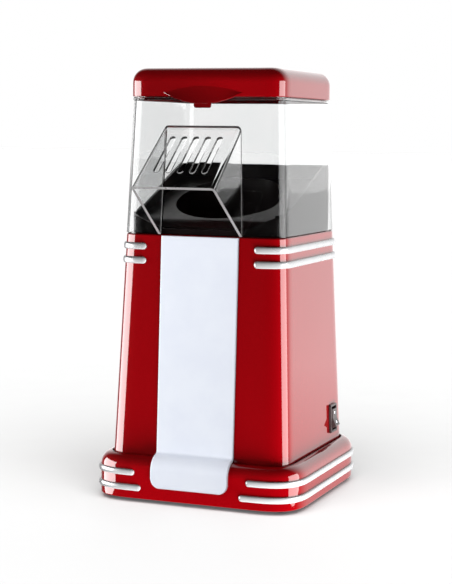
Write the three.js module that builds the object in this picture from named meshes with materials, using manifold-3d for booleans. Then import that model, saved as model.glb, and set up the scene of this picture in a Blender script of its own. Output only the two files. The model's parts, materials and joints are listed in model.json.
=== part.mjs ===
// Hot-air popcorn maker: a tapered red body in a wide base skirt, a clear cover with an exit hood,
// a red top cap, a white front slide, and the fan, heater and popping chamber inside.
// Millimetres, +Z up. The front faces -Y, and the origin is on the floor under the middle of the
// whole object, hood included. Every piece is drawn about the body's own upright axis.

import * as THREE from "three";
import { mergeVertices } from "three/addons/utils/BufferGeometryUtils.js";
import Module from "manifold-3d";

const wasm = await Module();
wasm.setup();

// ---- Driving dimensions ----

const GAP = 0.3; // clearance between neighbouring pieces
const CORNER_STEPS = 6; // facets round a quarter turn of a vertical corner

const BASE = { bottom: 3, top: 33, half: 77, corner: 24, edgeRadius: 9, wall: 2.6 };
const LEDGE = { top: 27.2, thickness: 2.6, half: 56, corner: 20 }; // carries the body inside the skirt
const BOTTOM_COVER = { bottom: 3.6, top: 6 };
const FOOT = { radius: 8, stemRadius: 2.6, at: 51 };
const BODY = { bottom: 27.5, top: 189, halfAt32: 67.3, halfAtTop: 61, corner: 13.5, wall: 2.6 };
const DECK = { thickness: 2.6, openingRadius: 47 }; // closes the body's top round the chamber
const COVER = { bottom: 189.3, top: 284.7, halfAtTop: 57.2, wall: 2, corner: 13 };
const CAP = { bottom: 285, top: 305, half: 58.1, corner: 13.5, edgeRadius: 10, wall: 2.4 };
const COLLAR = { bottom: 277.8, half: 54.4, corner: 11 }; // the cap's rim inside the clear cover
const CAP_TAB = { halfWidth: 29.5, tipZ: 287.6, crownZ: 292.2, sillZ: 279.9, proud: 1.3 };
const TONGUE = { halfWidth: 6.5, bottom: 277.2 };
const HOOD = { halfAtBottom: 31.5, halfAtTop: 29, top: 265, tipZ: 224, tipY: -110.4, wall: 2 };
const STEAM_SLOTS = { count: 5, pitch: 8.75, width: 4.4, start: 12, end: 51 };
const SLIDE = { half: 29, top: 188.4, bottom: 12, footRadius: 7, proud: 1, thickness: 2 };
const BODY_TRIM = { height: 4.8, proud: 1.6, upperZ: 180.5, lowerZ: 170.5, frontEnd: 40.5 };
const BASE_TRIM = { height: 4.4, proud: 1.6, upperZ: 21.6, lowerZ: 10.8, upperEnd: 42, lowerEnd: 37 };
const CHUTE = { half: 56.6, corner: 11, wall: 2, bottom: 189.3, top: 237, mouthRadius: 41 };
const THROAT = { radius: 33, bottom: 184, coneBottom: 188, coneTop: 197 };
const CHAMBER = { floor: 98.8, radius: 36.5, wall: 1.2, rimRadius: 46, rimZ: 180.3, vents: 12 };
const DUCT = { bottom: 42, top: 180, radius: 50, wall: 2, flange: 3, flangeRadius: 56.5 };
const HEATER = { bottom: 66, top: 92, vaneRadius: 39.6, coilRadius: 42.2, wireRadius: 1.1, turns: 3 };
const FAN = { bottom: 46, top: 59.5, radius: 43, plate: 1.5, hubRadius: 6, blades: 12 };
const SHAFT = { radius: 1.5, bottom: 30.3, top: 62 };
const MOTOR = { bottom: 12, top: 39, radius: 15.5 };
const BRACKET = { bottom: 39.3, top: 41.7, hubRadius: 18, ringRadius: 47, shaftHole: 4 };
const SWITCH = { y: 37.5, z: 50, bezelY: 15, bezelZ: 21, bezelProud: 1.9, depth: 15 };
const ROCKER = { halfY: 4.9, halfZ: 7.8, crown: 1.5, pivotX: -1, throwDeg: 22 };
const CORD_INLET = { x: -34, z: 46, neckRadius: 6.2, flangeRadius: 9, boreRadius: 4 };
const SCREW = { headRadius: 3, headHeight: 1.5, shankRadius: 1.3 };
const BOSS_RADIUS = 4;
const SKIRT_SCREW = { at: 62.5, length: 12 };
const BODY_SCREW = { at: 54.5, length: 12 };
const DUCT_SCREW = { radius: 53.3, length: 8 };

const LOOKS = {
  red: { color: 0xa8000f, roughness: 0.16, metalness: 0.35 },
  silver: { color: 0xd8dcdf, roughness: 0.28, metalness: 1 },
  white: { color: 0xe9edf4, roughness: 0.3, metalness: 0 },
  clear: { color: 0xf4f7f8, roughness: 0.04, metalness: 0, transparent: true, opacity: 0.3 },
  black: { color: 0x17120f, roughness: 0.25, metalness: 0 },
  rubber: { color: 0x1c1c1c, roughness: 0.85, metalness: 0 },
  steel: { color: 0xb9bcc0, roughness: 0.35, metalness: 1 },
  aluminium: { color: 0xc9cbcd, roughness: 0.4, metalness: 1 },
  mica: { color: 0xb39a6b, roughness: 0.7, metalness: 0 },
  wire: { color: 0x8b8178, roughness: 0.5, metalness: 1 },
  board: { color: 0x1f5a34, roughness: 0.6, metalness: 0 },
};

const AXIS_Y = -(HOOD.tipY + BASE.half + BASE_TRIM.proud) / 2; // the body's axis behind the origin
const CORNERS = [[1, -1], [1, 1], [-1, 1], [-1, -1]];
const THIRDS = [90, 210, 330].map(THREE.MathUtils.degToRad); // angles of the three duct screws
const WALL_LEAN = Math.atan((BODY.halfAt32 - BODY.halfAtTop) / (BODY.top - 32));

// Half width of the body at height z: front, back and sides share one taper.
function bodyHalf(z) {
  return BODY.halfAtTop + (BODY.top - z) * Math.tan(WALL_LEAN);
}

// Half width of the clear cover at height z.
function coverHalf(z) {
  const rise = (z - BODY.top) / (COVER.top - BODY.top);
  return THREE.MathUtils.lerp(BODY.halfAtTop, COVER.halfAtTop, rise);
}

// Outer half width of the exit hood at height z.
function hoodHalf(z) {
  const rise = (z - BODY.top) / (HOOD.top - BODY.top);
  return THREE.MathUtils.lerp(HOOD.halfAtBottom, HOOD.halfAtTop, rise);
}

// ---- Solids and booleans ----

// The geometry as a manifold-3d solid: positions only, shared vertices merged.
function solid(geometry) {
  const bare = geometry.clone();
  for (const name of Object.keys(bare.attributes)) {
    if (name !== "position") bare.deleteAttribute(name);
  }
  const welded = mergeVertices(bare, 1e-4);
  const mesh = new wasm.Mesh({
    numProp: 3,
    vertProperties: new Float32Array(welded.attributes.position.array),
    triVerts: new Uint32Array(welded.index.array),
  });
  return new wasm.Manifold(mesh);
}

function geometryOf(manifold) {
  const mesh = manifold.getMesh();
  const indexed = new THREE.BufferGeometry();
  indexed.setAttribute("position", new THREE.BufferAttribute(mesh.vertProperties, 3));
  indexed.setIndex(new THREE.BufferAttribute(mesh.triVerts, 1));
  const flat = indexed.toNonIndexed();
  flat.computeVertexNormals();
  return flat;
}

function subtract(geometry, ...cutters) {
  return geometryOf(cutters.reduce((rest, cutter) => rest.subtract(solid(cutter)), solid(geometry)));
}

function join(...geometries) {
  return geometryOf(geometries.map(solid).reduce((all, next) => all.add(next)));
}

function intersect(...geometries) {
  return geometryOf(geometries.map(solid).reduce((all, next) => all.intersect(next)));
}

// ---- Shapes that several pieces share ----

function box(x0, x1, y0, y1, z0, z1) {
  const block = new THREE.BoxGeometry(x1 - x0, y1 - y0, z1 - z0);
  return block.translate((x0 + x1) / 2, (y0 + y1) / 2, (z0 + z1) / 2);
}

// Upright cylinder between two heights.
function disc(radius, z0, z1, x = 0, y = 0, segments = 32) {
  const upright = new THREE.CylinderGeometry(radius, radius, z1 - z0, segments).rotateX(Math.PI / 2);
  return upright.translate(x, y, (z0 + z1) / 2);
}

// Solid of revolution about Z, from [radius, z] pairs that go up the outside.
function turned(profile, segments = 36) {
  const points = profile.map(([r, z]) => new THREE.Vector2(r, z));
  return new THREE.LatheGeometry(points, segments).rotateX(Math.PI / 2);
}

// Outline of [a, b] pairs extruded by depth along the third axis.
function prism(outline, depth) {
  const shape = new THREE.Shape(outline.map(([a, b]) => new THREE.Vector2(a, b)));
  return new THREE.ExtrudeGeometry(shape, { depth, bevelEnabled: false, steps: 1 });
}

// Outline of [y, z] pairs extruded along X, from -half to half.
function sidePrism(outline, half) {
  return prism(outline, 2 * half).rotateX(Math.PI / 2).rotateZ(Math.PI / 2).translate(-half, 0, 0);
}

// Outline of [x, z] pairs extruded along Y, from y0 to y1.
function frontPrism(outline, y0, y1) {
  return prism(outline, y1 - y0).rotateX(Math.PI / 2).translate(0, y1, 0);
}

// Points round a rounded square at one height, anticlockwise from above.
function squareRing(half, corner, z) {
  const ring = [];
  const centre = half - corner;
  CORNERS.forEach(([sx, sy], quarter) => {
    for (let i = 0; i <= CORNER_STEPS; i += 1) {
      const angle = (Math.PI / 2) * (quarter - 1 + i / CORNER_STEPS);
      ring.push([sx * centre + corner * Math.cos(angle), sy * centre + corner * Math.sin(angle), z]);
    }
  });
  return ring;
}

// Solid skinned over [half, corner, z] sections of a rounded square. A closed loft joins its last
// section to its first and lists its outside upwards; an open one has a flat lid at each end.
function squareLoft(sections, closed = false) {
  const rings = sections.map(([half, corner, z]) => squareRing(half, corner, z));
  const count = rings[0].length;
  const spans = closed ? rings.length : rings.length - 1;
  const triangles = [];
  for (let span = 0; span < spans; span += 1) {
    const low = span * count;
    const high = ((span + 1) % rings.length) * count;
    for (let i = 0; i < count; i += 1) {
      const j = (i + 1) % count;
      triangles.push(low + i, low + j, high + j, low + i, high + j, high + i);
    }
  }
  const last = (rings.length - 1) * count;
  for (let i = 1; i < count - 1 && !closed; i += 1) {
    triangles.push(0, i + 1, i, last, last + i, last + i + 1);
  }
  const geometry = new THREE.BufferGeometry();
  geometry.setAttribute("position", new THREE.Float32BufferAttribute(rings.flat(2), 3));
  return geometry.setIndex(triangles);
}

// Sections of an edge that curves from upright, a radius below z, to level at z.
function edgeSections(half, corner, z, radius, steps) {
  const sections = [];
  for (let i = 0; i <= steps; i += 1) {
    const angle = (Math.PI / 2) * (i / steps);
    const inset = radius * (1 - Math.cos(angle));
    sections.push([half - inset, corner - inset, z - radius + radius * Math.sin(angle)]);
  }
  return sections;
}

// Points of an arc in a plane, from one angle to another in degrees.
function arc(centreA, centreB, radius, fromDeg, toDeg, steps) {
  const points = [];
  for (let i = 0; i <= steps; i += 1) {
    const angle = THREE.MathUtils.degToRad(THREE.MathUtils.lerp(fromDeg, toDeg, i / steps));
    points.push([centreA + radius * Math.cos(angle), centreB + radius * Math.sin(angle)]);
  }
  return points;
}

function pointAt(radius, angle) {
  return [radius * Math.cos(angle), radius * Math.sin(angle)];
}

// Hollow post that takes a screw from below.
function boss(x, y, z0, z1) {
  const bore = disc(SCREW.shankRadius + GAP, z0 - 1, z1 - 2, x, y, 8);
  return subtract(disc(BOSS_RADIUS, z0, z1, x, y, 12), bore);
}

// Rib along the diagonal of a corner, between two distances from the axis.
function cornerRib([sx, sy], from, to, z0, z1) {
  const rib = box(from * Math.SQRT2, to * Math.SQRT2, -1, 1, z0, z1);
  return rib.rotateZ(Math.atan2(sy, sx));
}

function screwHole(x, y, z0, z1) {
  return disc(SCREW.shankRadius + GAP, z0 - 1, z1 + 1, x, y, 8);
}

// Pan-head screw that points up, with the underside of its head at z = 0.
function screw(length) {
  const { headRadius, headHeight, shankRadius } = SCREW;
  const profile = [
    [0, -headHeight],
    [headRadius * 0.7, -headHeight],
    [headRadius, -headHeight * 0.5],
    [headRadius, 0],
    [shankRadius, 0],
    [shankRadius, length - 1],
    [0, length],
  ];
  return turned(profile, 10);
}

// ---- Base ----

function baseSkirt() {
  const { bottom, top, half, corner, edgeRadius, wall } = BASE;
  const opening = bodyHalf(top) + 0.7;
  const openingCorner = BODY.corner + 0.7;
  const innerEdge = half - wall - opening;
  const outside = edgeSections(half, corner, top, edgeRadius, 5).slice(0, -1);
  const inside = edgeSections(half - wall, corner - wall, top - wall, innerEdge, 2).reverse();
  const shell = squareLoft(
    [[half, corner, bottom], ...outside, [opening, openingCorner, top], ...inside,
      [half - wall, corner - wall, bottom]],
    true,
  );
  const ledgeBottom = LEDGE.top - LEDGE.thickness;
  const ledge = squareLoft(
    [
      [opening + 2, openingCorner + 2, ledgeBottom],
      [opening + 2, openingCorner + 2, top - 1.5],
      [opening, openingCorner, top - 1.5],
      [opening, openingCorner, LEDGE.top],
      [LEDGE.half, LEDGE.corner, LEDGE.top],
      [LEDGE.half, LEDGE.corner, ledgeBottom],
    ],
    true,
  );
  const { at } = SKIRT_SCREW;
  const posts = CORNERS.map(([sx, sy]) => boss(sx * at, sy * at, BOTTOM_COVER.top + GAP, ledgeBottom + 1));
  const ribs = CORNERS.map((way) => cornerRib(way, at + 2, at + 6, BOTTOM_COVER.top + 3, ledgeBottom + 1));
  const holes = CORNERS.map(([sx, sy]) =>
    screwHole(sx * BODY_SCREW.at, sy * BODY_SCREW.at, ledgeBottom, LEDGE.top),
  );
  return subtract(join(shell, ledge, ...posts, ...ribs), ...holes);
}

// Floor of the machine, with rows of air slots under the motor.
function bottomCover() {
  const { bottom, top } = BOTTOM_COVER;
  const half = BASE.half - BASE.wall - GAP;
  const corner = BASE.corner - BASE.wall - GAP;
  const plate = squareLoft([[half, corner, bottom], [half, corner, top]]);
  const slots = [];
  for (let row = -3; row <= 3; row += 1) {
    const reach = Math.sqrt(38 ** 2 - (10 * row) ** 2);
    for (const side of [-1, 1]) {
      const middle = (side * (reach + 2.5)) / 2;
      const halfLength = (reach - 2.5) / 2;
      slots.push(box(middle - halfLength, middle + halfLength, 10 * row - 2.5, 10 * row + 2.5, bottom - 1, top + 1));
    }
  }
  const holes = CORNERS.flatMap(([sx, sy]) => [
    disc(FOOT.stemRadius + GAP, bottom - 1, top + 1, sx * FOOT.at, sy * FOOT.at, 16),
    screwHole(sx * SKIRT_SCREW.at, sy * SKIRT_SCREW.at, bottom, top),
  ]);
  return subtract(plate, ...slots, ...holes);
}

function foot() {
  const { radius, stemRadius } = FOOT;
  const padTop = BOTTOM_COVER.bottom - GAP;
  const stemTop = BOTTOM_COVER.top + 1.5;
  const profile = [
    [0, 0],
    [radius - 0.8, 0],
    [radius, 0.8],
    [radius, padTop],
    [stemRadius, padTop],
    [stemRadius, stemTop],
    [0, stemTop],
  ];
  return turned(profile, 16);
}

// ---- Body ----

function bodyShell() {
  const { bottom, top, corner, wall } = BODY;
  const inner = 50;
  const shell = squareLoft(
    [
      [bodyHalf(bottom), corner, bottom],
      [bodyHalf(top - 0.8), corner, top - 0.8],
      [bodyHalf(top) - 0.8, corner - 0.8, top],
      [inner, corner, top],
      [inner, corner, top - DECK.thickness],
      [bodyHalf(top) - wall, corner - wall, top - DECK.thickness],
      [bodyHalf(bottom) - wall, corner - wall, bottom],
    ],
    true,
  );
  const deckBottom = top - DECK.thickness;
  const deck = subtract(
    squareLoft([[inner + 2, corner, deckBottom], [inner + 2, corner, top]]),
    disc(DECK.openingRadius, deckBottom - 1, top + 1, 0, 0, 36),
  );
  const { at } = BODY_SCREW;
  const posts = CORNERS.map(([sx, sy]) => boss(sx * at, sy * at, bottom, bottom + 16));
  const ribs = CORNERS.map((way) => cornerRib(way, at + 2, at + 7.6, bottom + 2, bottom + 16));
  const ductPosts = THIRDS.map((angle) =>
    boss(...pointAt(DUCT_SCREW.radius, angle), DUCT.top + GAP, deckBottom + 1),
  );
  return subtract(
    join(shell, deck, ...posts, ...ribs, ...ductPosts),
    slideRecess(),
    switchOpening(),
    cordOpening(),
  );
}

// Shallow seat for the slide in the body's front wall, open at the top.
function slideRecess() {
  const depth = SLIDE.thickness - SLIDE.proud + GAP;
  const outline = [
    [-bodyHalf(BASE.top) - 5, BASE.top],
    [-bodyHalf(BASE.top) + depth, BASE.top],
    [-bodyHalf(BODY.top + 2) + depth, BODY.top + 2],
    [-bodyHalf(BASE.top) - 5, BODY.top + 2],
  ];
  return sidePrism(outline, SLIDE.half + GAP);
}

// White slide: down the body's front, out over the base's rounded edge and down its front.
function frontSlide() {
  const { half, top, bottom, footRadius, proud, thickness } = SLIDE;
  const edgeY = -(BASE.half - BASE.edgeRadius);
  const edgeZ = BASE.top - BASE.edgeRadius;
  const nearRadius = BASE.edgeRadius + GAP;
  const farRadius = nearRadius + thickness - GAP;
  const bend = edgeZ + farRadius;
  const outline = [
    [-bodyHalf(top) - proud, top],
    [-bodyHalf(bend) - proud, bend],
    ...arc(edgeY, edgeZ, farRadius, 90, 180, 6),
    [edgeY - farRadius, bottom],
    [edgeY - nearRadius, bottom],
    ...arc(edgeY, edgeZ, nearRadius, 180, 90, 6),
    [-bodyHalf(BASE.top + GAP) + thickness - proud, BASE.top + GAP],
    [-bodyHalf(top) + thickness - proud, top],
  ];
  const front = [
    [half, top + 1],
    [-half, top + 1],
    ...arc(-half + footRadius, bottom + footRadius, footRadius, 180, 270, 6),
    ...arc(half - footRadius, bottom + footRadius, footRadius, 270, 360, 6),
  ];
  return intersect(sidePrism(outline, half + 1), frontPrism(front, -100, 0));
}

// Raised band round the body or base from one front corner to the other, with rounded ends.
function trimBand(halfAt, corner, z, frontEnd, { height, proud }) {
  const rise = height / 2;
  const section = (dz, out) => [halfAt(z + dz) + out, corner + out, z + dz];
  const ring = squareLoft(
    [
      section(-rise, proud * 0.4),
      section(-rise * 0.65, proud * 0.85),
      section(0, proud),
      section(rise * 0.65, proud * 0.85),
      section(rise, proud * 0.4),
      section(rise, GAP),
      section(-rise, GAP),
    ],
    true,
  );
  const endX = frontEnd + rise;
  const back = -halfAt(z - rise) - GAP;
  const ends = [-1, 1].map((side) =>
    frontPrism(arc(side * endX, z, rise, 0, 330, 11), back - proud * 0.6, back),
  );
  return join(subtract(ring, box(-endX, endX, -100, 0, z - height, z + height)), ...ends);
}

function bodyTrim(z) {
  return trimBand(bodyHalf, BODY.corner, z, BODY_TRIM.frontEnd, BODY_TRIM);
}

function baseTrim(z, frontEnd) {
  return trimBand(() => BASE.half, BASE.corner, z, frontEnd, BASE_TRIM);
}

// ---- Clear cover, exit hood and cap ----

function clearCover() {
  const { bottom, top, wall, corner } = COVER;
  const shell = squareLoft(
    [
      [coverHalf(bottom), corner, bottom],
      [coverHalf(top), corner, top],
      [coverHalf(top) - wall, corner - wall, top],
      [coverHalf(bottom) - wall, corner - wall, bottom],
    ],
    true,
  );
  const sill = bottom - 1;
  const head = HOOD.top - 4;
  const outlet = [
    [hoodHalf(sill) - HOOD.wall, sill],
    [hoodHalf(head) - HOOD.wall, head],
    [-hoodHalf(head) + HOOD.wall, head],
    [-hoodHalf(sill) + HOOD.wall, sill],
  ];
  return subtract(shell, frontPrism(outlet, -70, -40));
}

// Wedge in front of the cover with sides that close in upwards: its inset is the wall thickness left
// outside it, and its back stands off the cover's face.
function hoodWedge(inset, backInset) {
  const slope = new THREE.Vector2(HOOD.tipY + coverHalf(HOOD.top), HOOD.tipZ - HOOD.top).normalize();
  const drop = inset / -slope.x;
  const backY = (z) => -coverHalf(z) - GAP + backInset;
  const reach = backInset ? 30 : 0;
  const topAt = (y) => HOOD.top - drop + ((y - backY(HOOD.top)) * slope.y) / slope.x;
  const outline = [
    [backY(HOOD.top), topAt(backY(HOOD.top))],
    [HOOD.tipY - reach, topAt(HOOD.tipY - reach)],
    [backY(COVER.bottom) - reach * 0.5, COVER.bottom - reach],
    [backY(COVER.bottom), COVER.bottom - reach],
  ];
  const low = COVER.bottom - 40;
  const high = HOOD.top + 10;
  const face = [
    [hoodHalf(low) - inset, low],
    [hoodHalf(high) - inset, high],
    [-hoodHalf(high) + inset, high],
    [-hoodHalf(low) + inset, low],
  ];
  return intersect(sidePrism(outline, 60), frontPrism(face, -160, 0));
}

// Clear hood that turns the popcorn down onto the slide: a sloping slotted top and two side walls.
function exitHood() {
  const run = new THREE.Vector2(HOOD.tipY + coverHalf(HOOD.top), HOOD.tipZ - HOOD.top);
  const pitch = Math.atan2(-run.y, -run.x);
  const slots = [];
  for (let i = 0; i < STEAM_SLOTS.count; i += 1) {
    const x = (i - (STEAM_SLOTS.count - 1) / 2) * STEAM_SLOTS.pitch;
    const radius = STEAM_SLOTS.width / 2;
    const outline = [
      ...arc(x, -STEAM_SLOTS.start - radius, radius, 0, 180, 6),
      ...arc(x, -STEAM_SLOTS.end + radius, radius, 180, 360, 6),
    ];
    const cutter = prism(outline, 12).translate(0, 0, -6).rotateX(pitch);
    slots.push(cutter.translate(0, -coverHalf(HOOD.top), HOOD.top));
  }
  return subtract(hoodWedge(0, 0), hoodWedge(HOOD.wall, 8), ...slots);
}

// Lens-shaped finger tab on the cap's front, with a catch tongue under it.
function capTab() {
  const { halfWidth, tipZ, crownZ, sillZ, proud } = CAP_TAB;
  const lens = [...bow(halfWidth, tipZ, crownZ), ...bow(-halfWidth, tipZ, sillZ)];
  const front = -CAP.half - proud;
  const back = -CAP.half + GAP;
  const tongue = box(-TONGUE.halfWidth, TONGUE.halfWidth, front + 0.4, back, TONGUE.bottom, sillZ + 2);
  return join(frontPrism(lens, front, back), tongue);
}

// Shallow arc between two points level at z, bulging to peak in the middle; it starts at x = from.
function bow(from, z, peak) {
  const steps = 10;
  const rise = peak - z;
  const radius = (from ** 2 + rise ** 2) / (2 * Math.abs(rise));
  const points = [];
  for (let i = 0; i < steps; i += 1) {
    const x = from * (1 - (2 * i) / steps);
    const sag = radius - Math.sqrt(radius ** 2 - x ** 2);
    points.push([x, peak - Math.sign(rise) * sag]);
  }
  return points;
}

function topCap() {
  const { bottom, top, half, corner, edgeRadius, wall } = CAP;
  const outside = squareLoft([
    [COLLAR.half, COLLAR.corner, COLLAR.bottom],
    [COLLAR.half, COLLAR.corner, bottom],
    [half - 0.5, corner - 0.5, bottom],
    [half, corner, bottom + 0.5],
    ...edgeSections(half, corner, top, edgeRadius, 5),
  ]);
  const room = squareLoft([
    [COLLAR.half - wall, COLLAR.corner - wall, COLLAR.bottom - 1],
    [COLLAR.half - wall, COLLAR.corner - wall, top - wall - 6],
    [COLLAR.half - wall - 5, COLLAR.corner - wall - 4, top - wall],
  ]);
  return subtract(join(outside, capTab()), room);
}

// ---- Chute and popping chamber ----

// Upper surface of the chute, front to back, as [y, z]: a steep lip and a long gentle deck.
const CHUTE_DECK = [[-54.6, 192.6], [-45, 199], [42, 226.5]];

function innerChute() {
  const { half, corner, wall, bottom, top, mouthRadius } = CHUTE;
  const inner = half - wall;
  const block = squareLoft([[half, corner, bottom], [half, corner, top]]);
  const sideEdge = [[-70, 180], [-70, 204], [-45, 204], [37, top], [37, top + 1], [70, top + 1], [70, 180]];
  const room = squareLoft([[inner, corner - wall, bottom - 20], [inner, corner - wall, top + 20]]);
  const above = intersect(room, sidePrism([...CHUTE_DECK, [42, 260], [-54.6, 260]], 60));
  const under = [
    [-54.6, 180],
    [-54.6, 189.9],
    [-45.8, 196.2],
    [44, 224.6],
    [44, top - wall],
    [54.6, top - wall],
    [54.6, 180],
  ];
  const frontCut = [[-60, 205.5], [-30, 192.8], [30, 192.8], [60, 205.5], [60, 260], [-60, 260]];
  const shell = subtract(intersect(block, sidePrism(sideEdge, 60)), intersect(room, sidePrism(under, 60)));
  const funnel = turned([
    [0, THROAT.bottom],
    [THROAT.radius + wall, THROAT.bottom],
    [THROAT.radius + wall, THROAT.coneBottom],
    [mouthRadius + wall, THROAT.coneTop],
    [mouthRadius + wall, 232],
    [0, 232],
  ]);
  const bore = turned([
    [0, THROAT.bottom - 1],
    [THROAT.radius, THROAT.bottom - 1],
    [THROAT.radius, THROAT.coneBottom],
    [mouthRadius, THROAT.coneTop],
    [mouthRadius, 260],
    [0, 260],
  ]);
  return subtract(join(shell, funnel), above, bore, frontPrism(frontCut, -60, -52));
}

function poppingChamber() {
  const { floor, radius, wall, rimRadius, rimZ, vents } = CHAMBER;
  const cup = turned([
    [0, floor + 4],
    [radius - 7, floor],
    [radius, floor + 3],
    [radius, rimZ],
    [rimRadius, rimZ],
    [rimRadius, rimZ + wall],
    [radius - wall, rimZ + wall],
    [radius - wall, floor + 3.6],
    [radius - 7.4, floor + wall],
    [0, floor + 4 + wall],
  ]);
  const louvres = [];
  for (let i = 0; i < vents; i += 1) {
    const louvre = new THREE.BoxGeometry(5, 1.2, 9).rotateY(0.5).rotateZ(0.6);
    louvres.push(louvre.translate(radius - 0.6, 0, floor + 10).rotateZ((2 * Math.PI * i) / vents));
  }
  return subtract(cup, ...louvres);
}

// Round casing that hangs under the deck, holds the chamber's rim and leads the air up past the heater.
function airDuct() {
  const { bottom, top, radius, wall, flange, flangeRadius } = DUCT;
  const casing = turned([
    [radius - wall, bottom],
    [flangeRadius, bottom],
    [flangeRadius, bottom + flange],
    [radius, bottom + flange],
    [radius, top - flange],
    [flangeRadius, top - flange],
    [flangeRadius, top],
    [CHAMBER.radius + 2, top],
    [CHAMBER.radius + 2, top - flange],
    [radius - wall, top - flange],
    [radius - wall, bottom],
  ]);
  const holes = THIRDS.flatMap((angle) => [
    screwHole(...pointAt(DUCT_SCREW.radius, angle), bottom, bottom + flange),
    screwHole(...pointAt(DUCT_SCREW.radius, angle), top - flange, top),
  ]);
  return subtract(casing, ...holes);
}

// ---- Heater, fan and motor ----

function heaterFormer() {
  const { bottom, top, vaneRadius } = HEATER;
  return join(
    box(-vaneRadius, vaneRadius, -0.5, 0.5, bottom, top),
    box(-0.5, 0.5, -vaneRadius, vaneRadius, bottom, top),
  );
}

function heaterCoil() {
  const { bottom, top, coilRadius, wireRadius, turns } = HEATER;
  const steps = 20 * turns;
  const points = [];
  for (let i = 0; i <= steps; i += 1) {
    const [x, y] = pointAt(coilRadius, (2 * Math.PI * i) / 20 + 0.4);
    points.push(new THREE.Vector3(x, y, THREE.MathUtils.lerp(bottom + 4, top - 4, i / steps)));
  }
  const section = new THREE.Shape().absarc(0, 0, wireRadius, 0, 2 * Math.PI);
  const extrudePath = new THREE.CatmullRomCurve3(points);
  return new THREE.ExtrudeGeometry(section, { steps, curveSegments: 3, bevelEnabled: false, extrudePath });
}

// Button thermostat against the duct's inner wall, beside the chamber.
function thermostat() {
  return join(
    disc(4.6, 0, 5, 0, 0, 16),
    disc(3.6, -1.6, 0.5, 0, 0, 16),
    box(-1, 1, -7, -4, 1, 4),
    box(-1, 1, 4, 7, 1, 4),
  )
    .rotateX(-Math.PI / 2)
    .translate(0, 41, 118);
}

function thermalFuse() {
  return join(disc(1.7, -6, 6, 0, 0, 12), disc(0.6, -11, 11, 0, 0, 8))
    .rotateY(Math.PI / 2)
    .translate(0, 14, HEATER.top + 2.2);
}

function fanImpeller() {
  const { bottom, top, radius, plate, hubRadius, blades } = FAN;
  const vanes = [];
  for (let i = 0; i < blades; i += 1) {
    const vane = box(hubRadius - 1, radius - 1, -0.6, 0.6, bottom, top - plate / 2);
    vanes.push(vane.rotateZ((2 * Math.PI * i) / blades));
  }
  const wheel = join(disc(radius, top - plate, top, 0, 0, 36), disc(hubRadius, bottom, top, 0, 0, 18), ...vanes);
  return subtract(wheel, disc(SHAFT.radius + GAP, bottom - 1, top + 1, 0, 0, 16));
}

function motorCan() {
  const { bottom, top, radius } = MOTOR;
  const can = turned([
    [0, bottom - 1.5],
    [5, bottom - 1.5],
    [5, bottom],
    [radius - 1.5, bottom],
    [radius, bottom + 1.5],
    [radius, top],
    [0, top],
  ], 28);
  return subtract(can, disc(SHAFT.radius + GAP, SHAFT.bottom - GAP, top + 1, 0, 0, 16));
}

// Plate across the duct's lower end: a rim, three arms and the hub that the motor hangs from.
function motorBracket() {
  const { bottom, top, hubRadius, ringRadius, shaftHole } = BRACKET;
  const windows = THIRDS.map((angle) => {
    const from = THREE.MathUtils.radToDeg(angle) + 12;
    const to = from + 96;
    const rim = [...arc(0, 0, ringRadius, from, to, 8), ...arc(0, 0, hubRadius, to, from, 5)];
    return prism(rim, top - bottom + 2).translate(0, 0, bottom - 1);
  });
  const holes = THIRDS.map((angle) => screwHole(...pointAt(DUCT_SCREW.radius, angle), bottom, top));
  const plate = disc(DUCT.flangeRadius, bottom, top, 0, 0, 36);
  return subtract(plate, disc(shaftHole, bottom - 1, top + 1, 0, 0, 16), ...windows, ...holes);
}

// Small round board on the motor's terminals, with its four diodes.
function rectifierBoard() {
  const diodes = CORNERS.map(([sx, sy]) =>
    disc(1, -2.6, 2.6, 0, 0, 8).rotateY(Math.PI / 2).translate(sx * 5, sy * 8.4, 10.6),
  );
  return join(disc(14, 8.2, 9.8, 0, 0, 24), ...diodes);
}

// ---- Switch and cord inlet ----

// Turns a piece drawn on a wall at X = 0, facing +X, onto the leaning right-hand side of the body.
function ontoSide(geometry) {
  return geometry.rotateY(-WALL_LEAN).translate(bodyHalf(SWITCH.z), SWITCH.y, SWITCH.z);
}

const SWITCH_BODY = { halfY: 6.3, halfZ: 9.5 };
const SWITCH_POCKET = { halfY: 5.25, halfZ: 8.75, depth: 8 };

function switchOpening() {
  const y = SWITCH_BODY.halfY + GAP;
  const z = SWITCH_BODY.halfZ + GAP;
  return ontoSide(box(-6, 4, -y, y, -z, z));
}

function switchHousing() {
  const { bezelY, bezelZ, bezelProud, depth } = SWITCH;
  const { halfY, halfZ } = SWITCH_BODY;
  const pocket = SWITCH_POCKET;
  const terminals = [-6, 0, 6].map((z) => box(-depth - 7, -depth + 1, -2.4, 2.4, z - 0.4, z + 0.4));
  const housing = join(
    box(GAP, bezelProud, -bezelY / 2, bezelY / 2, -bezelZ / 2, bezelZ / 2),
    box(-depth, GAP + 0.5, -halfY, halfY, -halfZ, halfZ),
    ...terminals,
  );
  const cut = box(-pocket.depth, 5, -pocket.halfY, pocket.halfY, -pocket.halfZ, pocket.halfZ);
  return ontoSide(subtract(housing, cut));
}

// Rocker with a shallow V face, standing with its upper half pressed in.
function switchRocker() {
  const { halfY, halfZ, crown, pivotX, throwDeg } = ROCKER;
  const tilt = THREE.MathUtils.degToRad(throwDeg / 2);
  const ends = crown + halfZ * Math.tan(tilt);
  const outline = [[ends, -halfZ], [crown, 0], [ends, halfZ], [-1.5, halfZ - 0.4], [-4, 4.5], [-4, -4.5],
    [-1.5, -halfZ + 0.4]];
  const rocker = frontPrism(outline, -halfY, halfY).translate(-pivotX, 0, 0).rotateY(-tilt);
  return ontoSide(rocker.translate(pivotX, 0, 0));
}

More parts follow.
